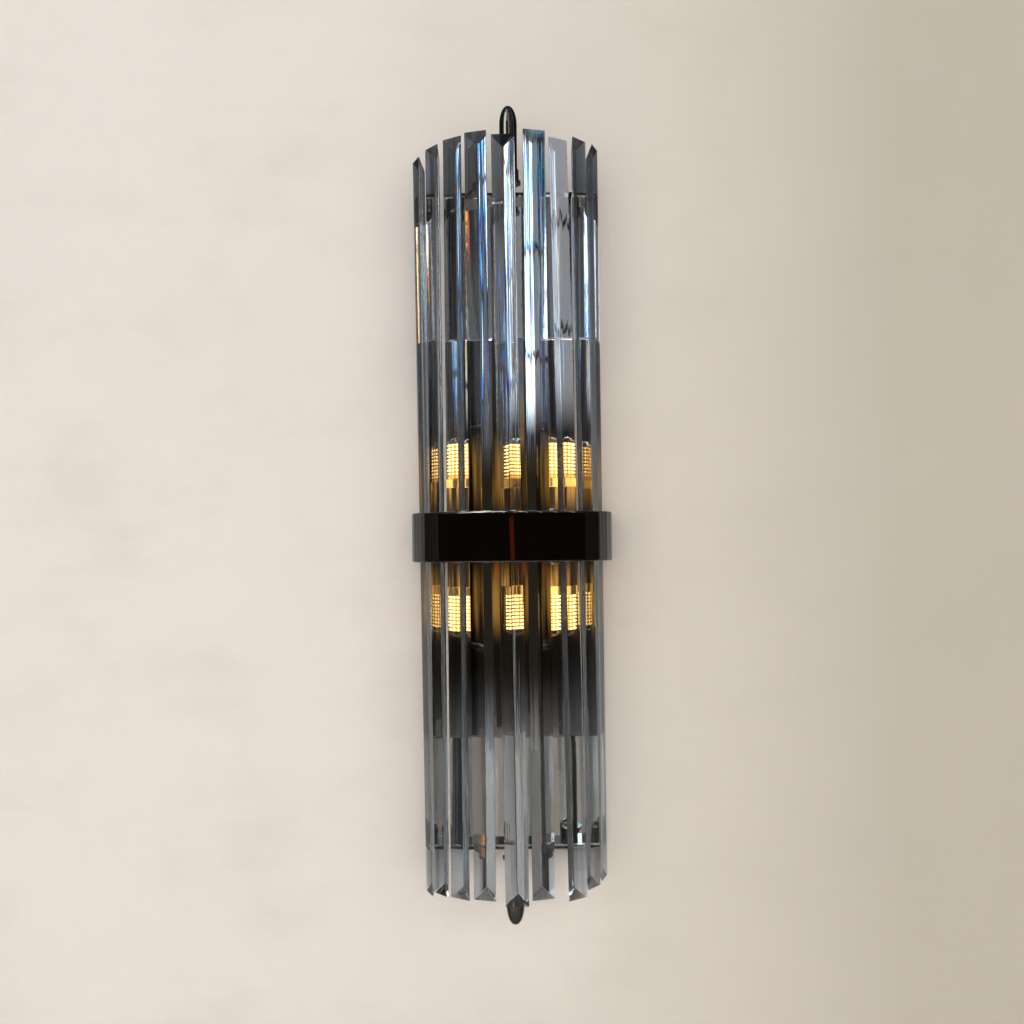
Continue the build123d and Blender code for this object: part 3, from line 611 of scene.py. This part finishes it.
def glow_material():
    tree = Tree("lamp_glow")
    across, depth, level = tree.axes(tree.add("ShaderNodeTexCoord", None, out=3))
    depth = depth * 1000.0 - COLUMN_DEPTH
    level = level * 1000.0
    across = tree.math("ABSOLUTE", across) * 1000.0 - LAMP_OFFSET
    height = tree.math("ABSOLUTE", level) - CORE_FOOT
    turn = tree.math("ARCTAN2", depth, across)
    beat = tree.math("FRACT", turn * (LIGHT_COLUMNS / math.tau) + FIRST_COLUMN)
    column = tree.rise(tree.math("ABSOLUTE", beat - 0.5), 0.26, 0.08)
    beat = tree.math("FRACT", height * (1.0 / RIB_PITCH))
    rib = tree.rise(tree.math("ABSOLUTE", beat - 0.5), 0.36, 0.18)
    speck = tree.noise(700.0, 2.0, 0.5)
    warm = tree.mix(speck, rgb(0.34, 0.155, 0.015), rgb(0.26, 0.11, 0.01))
    tone = tree.mix(rib, rgb(0.10, 0.036, 0.004), warm)
    tone = tree.mix(rib * column, tone, rgb(1.0, 0.80, 0.34))
    lit = tree.math("MAXIMUM", tree.rise(level, 42.0, 50.0), level < 0.0)
    tone = tree.mix(lit, rgb(0.12, 0.05, 0.008), tone)
    body = tree.add("ShaderNodeBsdfPrincipled", None, Base_Color=tone, Roughness=0.5,
                    Emission_Color=tone, Emission_Strength=9.0)
    return tree.surface(body)


lamp_glow = glow_material()

# %% [markdown]
# ## Ceramic lit from inside
#
# The lamps shine into their own feet and into the holders, so the ceramic next to them glows amber.
# Real light would have to find its way through two layers of glass, which takes many samples. An
# emission that grows towards the lamp, broken into upright streaks, stands for it at little cost.

# %% Lit ceramic


def lit_material(name, colour, dark, glow, strength):
    tree = Tree(name)
    _, _, height = tree.axes(tree.place())
    height = tree.math("ABSOLUTE", height) * 1000.0
    fine = tree.noise(300.0, 4.0, 0.6)
    streak = tree.rise(tree.noise(260.0, 2.0, 0.5, (1, 1, 0.04)), 0.42, 0.62)
    near_lamp = tree.rise(height, 14.0, CORE_FOOT)
    tone = tree.mix(fine, dark, colour)
    shine = tree.mix(near_lamp * streak, rgb(0.012, 0.006, 0.002), glow)
    body = tree.add("ShaderNodeBsdfPrincipled", None, Base_Color=tone,
                    Roughness=fine * 0.1 + 0.12, Normal=tree.bump(fine, 0.00005, 0.3),
                    Emission_Color=shine, Emission_Strength=strength)
    return tree.surface(body)


holder_ceramic = lit_material("holder_ceramic", rgb(0.10, 0.06, 0.035), rgb(0.04, 0.025, 0.015),
                              rgb(0.60, 0.29, 0.06), 1.6)
lamp_ceramic = lit_material("lamp_ceramic", rgb(0.45, 0.30, 0.14), rgb(0.30, 0.18, 0.08),
                            rgb(0.9, 0.45, 0.09), 2.2)

# %% [markdown]
# ## Finishes on the CAD parts
#
# The record says of each part which finish it has, so one loop dresses them all. Two parts share
# black nickel in the record but look brighter in the photograph: the back plate and the box.

# %% Dress the CAD parts
finishes = {
    "crystal": crystal, "black_nickel": black_nickel, "zinc_steel": zinc_steel,
    "brass_metal": brass_metal, "holder_ceramic": holder_ceramic, "lamp_ceramic": lamp_ceramic,
    "lamp_glow": lamp_glow, "lamp_glass": lamp_glass, "pin_metal": pin_metal,
    "clear_pad": pad_rubber, "black_rubber": black_rubber, "brown_wire": brown_wire,
    "blue_wire": blue_wire, "earth_wire": earth_wire, "terminal_plastic": terminal_plastic,
}
for entry in frame["record"]["subparts"]:
    piece = nodes[entry["node"]]
    piece.data.materials.clear()
    piece.data.materials.append(finishes[entry["material_slot"]])
nodes["chassis_plate"].data.materials[0] = bright_steel
nodes["cover_box"].data.materials[0] = box_mirror
print("finishes:", len(finishes))

# %% [markdown]
# ## Turned pieces
#
# The finials, the domed nuts, the column and the lamps are round about one axis. Spin would turn a
# profile about that axis, but its seam has to be closed afterwards. Here a ring of edges is
# extruded from one radius and height to the next, as a tool follows a profile on a lathe. That
# gives them more sides than the CAD mesh has, which a mirror finish needs.

# %% Lathe
NEAR_AXIS = 0.002
SMOOTH_ANGLE = math.radians(32)


def turned(name, axis, profile, finish, slot, body, *replaced, sides=64, tip_up=True, lean=0.0):
    """A piece turned about a vertical axis; the profile is (radius, height) in millimetres."""
    deselect_all()
    sign = 1.0 if tip_up else -1.0
    centre = Vector(axis) * MM
    radius, height = profile[0]
    radius = max(radius, NEAR_AXIS)
    start = centre + Vector((0, 0, sign * height * MM))
    bpy.ops.mesh.primitive_circle_add(vertices=sides, radius=radius * MM, location=start)
    piece = bpy.context.object
    bpy.ops.object.transform_apply(location=True, rotation=True, scale=True)
    bpy.ops.object.mode_set(mode="EDIT")
    bpy.ops.mesh.select_all(action="SELECT")
    for next_radius, next_height in profile[1:]:
        next_radius = max(next_radius, NEAR_AXIS)
        move = sign * (next_height - height) * MM
        bpy.ops.mesh.extrude_edges_move(TRANSFORM_OT_translate={"value": (0, 0, move)})
        scale = next_radius / radius
        bpy.ops.transform.resize(value=(scale, scale, 1), center_override=centre)
        radius, height = next_radius, next_height
    bpy.ops.mesh.select_all(action="SELECT")
    bpy.ops.mesh.remove_doubles(threshold=0.00001)
    bpy.ops.mesh.normals_make_consistent(inside=False)
    bpy.ops.object.mode_set(mode="OBJECT")
    if lean:
        piece.data.transform(Matrix.Translation(centre) @ Matrix.Rotation(lean, 4, "X")
                             @ Matrix.Translation(-centre))
    bpy.ops.object.shade_smooth_by_angle(angle=SMOOTH_ANGLE)
    piece.name = name
    piece.data.materials.append(finish)
    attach(piece, body)
    if replaced:
        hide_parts(*replaced)
    print(name, len(piece.data.polygons), "faces")
    return piece


# %% [markdown]
# ## The column and its finials
#
# A rod runs up behind the bars through both yokes, and a bullet-shaped finial is screwed on each of
# its ends. The finial's side is straight and its nose is an ogive: one curve that leaves the side
# without a corner and ends round. A scaled sphere would be too full at its shoulder, so the curve
# is worked out from its two ends and their directions.

# %% Column and finials
YOKE_TOP = 260.0
YOKE_BOTTOM = -232.0
FINIAL_RADIUS = 6.5
FINIAL_LENGTH = 47.5
NOSE_REACH = 14.0
NOSE_FULLNESS = 1.3
TIP_FLATNESS = 0.8


def nose(radius, length, reach, steps=14):
    """The ogive end of a finial, from its side to its tip."""
    chord = math.hypot(radius, reach)
    points = []
    for step in range(1, steps + 1):
        t = step / steps
        h00, h10 = 2 * t**3 - 3 * t**2 + 1, t**3 - 2 * t**2 + t
        h01, h11 = 3 * t**2 - 2 * t**3, t**3 - t**2
        out = h00 * radius - h11 * TIP_FLATNESS * chord
        up = h00 * (length - reach) + h10 * NOSE_FULLNESS * chord + h01 * length
        points.append((out, up))
    return points


def finial(name, seat, tip_up, node, finish):
    """A finial with the blind hole that the column's end fills."""
    side = [(0, 24), (4.05, 24), (4.05, 0), (FINIAL_RADIUS - 0.2, 0), (FINIAL_RADIUS, 0.2),
            (FINIAL_RADIUS, FINIAL_LENGTH - NOSE_REACH)]
    turned(name, (0, COLUMN_DEPTH, seat), side + nose(FINIAL_RADIUS, FINIAL_LENGTH, NOSE_REACH),
           finish, "black_nickel", "fixture", node, sides=96, tip_up=tip_up)


# The upper finial gets the darker copy of black nickel, a painted shade; the lower one plain black
# nickel.
finial("finial_above", YOKE_TOP + 11.0, True, "finial_top", painted_dark_nickel)
finial("finial_below", YOKE_BOTTOM - 2.0, False, "finial_bottom", black_nickel)
COLUMN_PROFILE = [(0, -256), (3.7, -256), (4, -255.7), (4, YOKE_BOTTOM), (5, YOKE_BOTTOM),
                  (5, YOKE_TOP), (4, YOKE_TOP), (4, 292.7), (3.7, 293), (0, 293)]
turned("centre_column", (0, COLUMN_DEPTH, 0), COLUMN_PROFILE, black_nickel, "black_nickel",
       "fixture", "column")

# %% [markdown]
# ## Domed nuts
#
# Four long domed nuts hold the yokes to the back plate, and two short ones hold the box to its wall
# bracket. Each is a turned profile with its blind hole. The CAD model has the nuts of one kind as
# one part, so they are joined here as well.

# %% Domed nuts


def dome(radius, length, steps=10):
    """The round end of a nut or of a lamp's cover."""
    return [(radius * math.cos(math.radians(90 * step / steps)),
             length - radius + radius * math.sin(math.radians(90 * step / steps)))
            for step in range(steps + 1)]


def domed_nut(name, place, radius, length, bore, bore_depth, tip_up, lean=0.0):
    profile = [(0, bore_depth), (bore, bore_depth), (bore, 0), (radius - 0.3, 0), (radius, 0.3)]
    return turned(name, place, profile + dome(radius, length), black_nickel, "black_nickel",
                  "fixture", sides=48, tip_up=tip_up, lean=lean)


def join_pieces(name, pieces, node):
    """Several pieces of one kind made one object, as the CAD node has them."""
    deselect_all()
    for piece in pieces:
        piece.select_set(True)
    bpy.context.view_layer.objects.active = pieces[0]
    bpy.ops.object.join()
    pieces[0].name = name
    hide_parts(node)
    print(name, len(pieces), "nuts joined")


yoke_nuts = [domed_nut(f"yoke_nut_{x}_{z}", (x, -10, z), 5.5, 15, 2.55, 9, z < 0)
             for x in (-40, 40) for z in (258.5, -230.5)]
join_pieces("yoke_nuts", yoke_nuts, "yoke_cap_nuts")
box_nuts = [domed_nut(f"box_nut_{z}", (0, -22, z), 4, 10, 2.05, 6.5, True, math.radians(90))
            for z in (-82, 82)]
join_pieces("box_nuts", box_nuts, "box_cap_nuts")

# %% [markdown]
# ## Lamps
#
# A lamp is a ribbed core under a clear dome. The ribs are turned as rings with rounded rims, so
# that the rows of light points of the finish lie on real ridges and catch the glass in between.
# The dome is a shell with an inner wall, because a solid one would act as a strong lens.

# %% Lamps
CORE_RADIUS = 4.6
RIB_HEIGHT = 1.5
RIB_COUNT = 10
RIB_RIM = ((CORE_RADIUS, 0), (5.7, 0.1), (6.1, 0.38), (6.2, 0.75), (6.1, 1.12), (5.7, 1.4),
           (CORE_RADIUS, RIB_HEIGHT))
COVER_RADIUS = 7.6
COVER_LENGTH = 30.5
COVER_BORE = 6.8
COVER_BORE_LENGTH = 29.7


def lamp(name, side, tip_up):
    axis = (LAMP_OFFSET * side, COLUMN_DEPTH, 0)
    core = [(0, CORE_FOOT), (CORE_RADIUS, CORE_FOOT)]
    for rib in range(RIB_COUNT):
        foot = CORE_FOOT + (rib + 0.5) * RIB_PITCH - RIB_HEIGHT / 2
        core += [(out, foot + up) for out, up in RIB_RIM]
    top = CORE_FOOT + RIB_COUNT * RIB_PITCH
    core += [(CORE_RADIUS, top - 0.2), (CORE_RADIUS - 0.2, top), (0, top)]
    turned(f"glow_{name}", axis, core, lamp_glow, "lamp_glow", f"lamp_{name}",
           f"lamp_core_{name}", tip_up=tip_up, sides=48)
    outer = [(COVER_BORE, CORE_FOOT), (COVER_RADIUS, CORE_FOOT)]
    outer += dome(COVER_RADIUS, CORE_FOOT + COVER_LENGTH)
    inner = dome(COVER_BORE, CORE_FOOT + COVER_BORE_LENGTH)[::-1]
    turned(f"dome_{name}", axis, outer + inner + [(COVER_BORE, CORE_FOOT)], lamp_glass,
           "lamp_glass", f"lamp_{name}", f"lamp_cover_{name}", tip_up=tip_up, sides=48)


for name, side, tip_up in (("upper_left", -1, True), ("upper_right", 1, True),
                           ("lower_left", -1, False), ("lower_right", 1, False)):
    lamp(name, side, tip_up)

# %% [markdown]
# ## The waist band
#
# The band is a strip of metal bent to a half circle with two short straight ends. It could be cut
# from a tube, but the straight ends would still be missing. So half a ring of edges is run back to
# the wall, raised to a strip and thickened, and its rims are rounded.

# %% Band
BAND_RADIUS = 75.0
BAND_AXIS = -18.0
BAND_STRAIGHT = 17.0
BAND_HEIGHT = 36.0
BAND_RIM = 2.0
BAND_WALL = 3.0


def select_vertices(piece, wanted):
    """Select the vertices for which wanted(place) holds; the piece is in edit mode."""
    bpy.ops.mesh.select_all(action="DESELECT")
    bpy.ops.mesh.select_mode(type="VERT")
    mesh = bmesh.from_edit_mesh(piece.data)
    for vertex in mesh.verts:
        vertex.select = wanted(vertex.co)
    mesh.select_flush_mode()
    bmesh.update_edit_mesh(piece.data)


deselect_all()
bpy.ops.mesh.primitive_circle_add(vertices=288, radius=BAND_RADIUS * MM,
                                  location=(0, BAND_AXIS * MM, -BAND_HEIGHT / 2 * MM))
band = bpy.context.object
band.name = "waist_band"
bpy.ops.object.transform_apply(location=True, rotation=True, scale=True)
bpy.ops.object.mode_set(mode="EDIT")
bpy.ops.mesh.select_all(action="SELECT")
bpy.ops.mesh.bisect(plane_co=(0, BAND_AXIS * MM, 0), plane_no=(0, 1, 0), clear_outer=True,
                    threshold=0.00001)
select_vertices(band, lambda place: abs(place.y - BAND_AXIS * MM) < 0.00002)
bpy.ops.mesh.extrude_vertices_move(TRANSFORM_OT_translate={"value": (0, BAND_STRAIGHT * MM, 0)})
bpy.ops.mesh.select_all(action="SELECT")
for rise in (BAND_RIM, BAND_HEIGHT - 2 * BAND_RIM, BAND_RIM):
    bpy.ops.mesh.extrude_edges_move(TRANSFORM_OT_translate={"value": (0, 0, rise * MM)})
bpy.ops.mesh.select_all(action="SELECT")
bpy.ops.mesh.normals_make_consistent(inside=False)
bpy.ops.object.mode_set(mode="OBJECT")
print("waist_band strip:", len(band.data.polygons), "faces")

# %% [markdown]
# ## The band's wall and rims
#
# The strip has no thickness yet. Solidify grows its wall inwards, so that the outer size stays, and
# which way that is depends on where the strip's faces point. Bevel rounds the sharp rims: a real
# band is polished after it is bent, and the rounded edge is what catches the light.

# %% Wall and rims of the band
front = min(band.data.polygons, key=lambda face: face.center.y)
outward = front.normal.y < 0
wall = band.modifiers.new("wall", "SOLIDIFY")
wall.thickness = BAND_WALL * MM
wall.offset = -1.0 if outward else 1.0
bpy.ops.object.modifier_apply(modifier=wall.name)
rim = band.modifiers.new("rim", "BEVEL")
rim.width = 1.2 * MM
rim.segments = 5
rim.limit_method = "ANGLE"
rim.angle_limit = math.radians(40)
bpy.ops.object.modifier_apply(modifier=rim.name)
print("waist_band wall:", len(band.data.polygons), "faces, outward first:", outward)

# %% [markdown]
# ## The band's lugs
#
# Inside the band three small lugs take the screws of the waist plates. Each is a block with broken
# edges that is let into the band's wall, at the angle where its screw stands.

# %% Lugs of the band
LUG_ANGLES = (-84.0, 26.0, 86.0)
LUG_LENGTH = 11.0
LUG_WIDTH = 5.0
LUG_LEVEL = 12.0

bpy.ops.object.mode_set(mode="EDIT")
for angle in LUG_ANGLES:
    turn = math.radians(angle)
    reach = (BAND_RADIUS - BAND_WALL / 2 - LUG_LENGTH / 2) * MM
    middle = (reach * math.sin(turn), BAND_AXIS * MM - reach * math.cos(turn), LUG_LEVEL * MM)
    bpy.ops.mesh.select_all(action="DESELECT")
    bpy.ops.mesh.primitive_cube_add(size=1.0, location=middle,
                                    rotation=(0, 0, turn - math.radians(90)),
                                    scale=(LUG_LENGTH * MM, LUG_WIDTH * MM, LUG_WIDTH * MM))
    bpy.ops.mesh.bevel(offset=0.4 * MM, segments=2, affect="EDGES")
bpy.ops.mesh.select_all(action="SELECT")
bpy.ops.mesh.normals_make_consistent(inside=False)
bpy.ops.object.mode_set(mode="OBJECT")
bpy.ops.object.shade_smooth_by_angle(angle=SMOOTH_ANGLE)
band.data.materials.append(black_nickel)
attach(band, "fixture")
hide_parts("band")
print("waist_band", len(band.data.polygons), "faces with", len(LUG_ANGLES), "lugs")
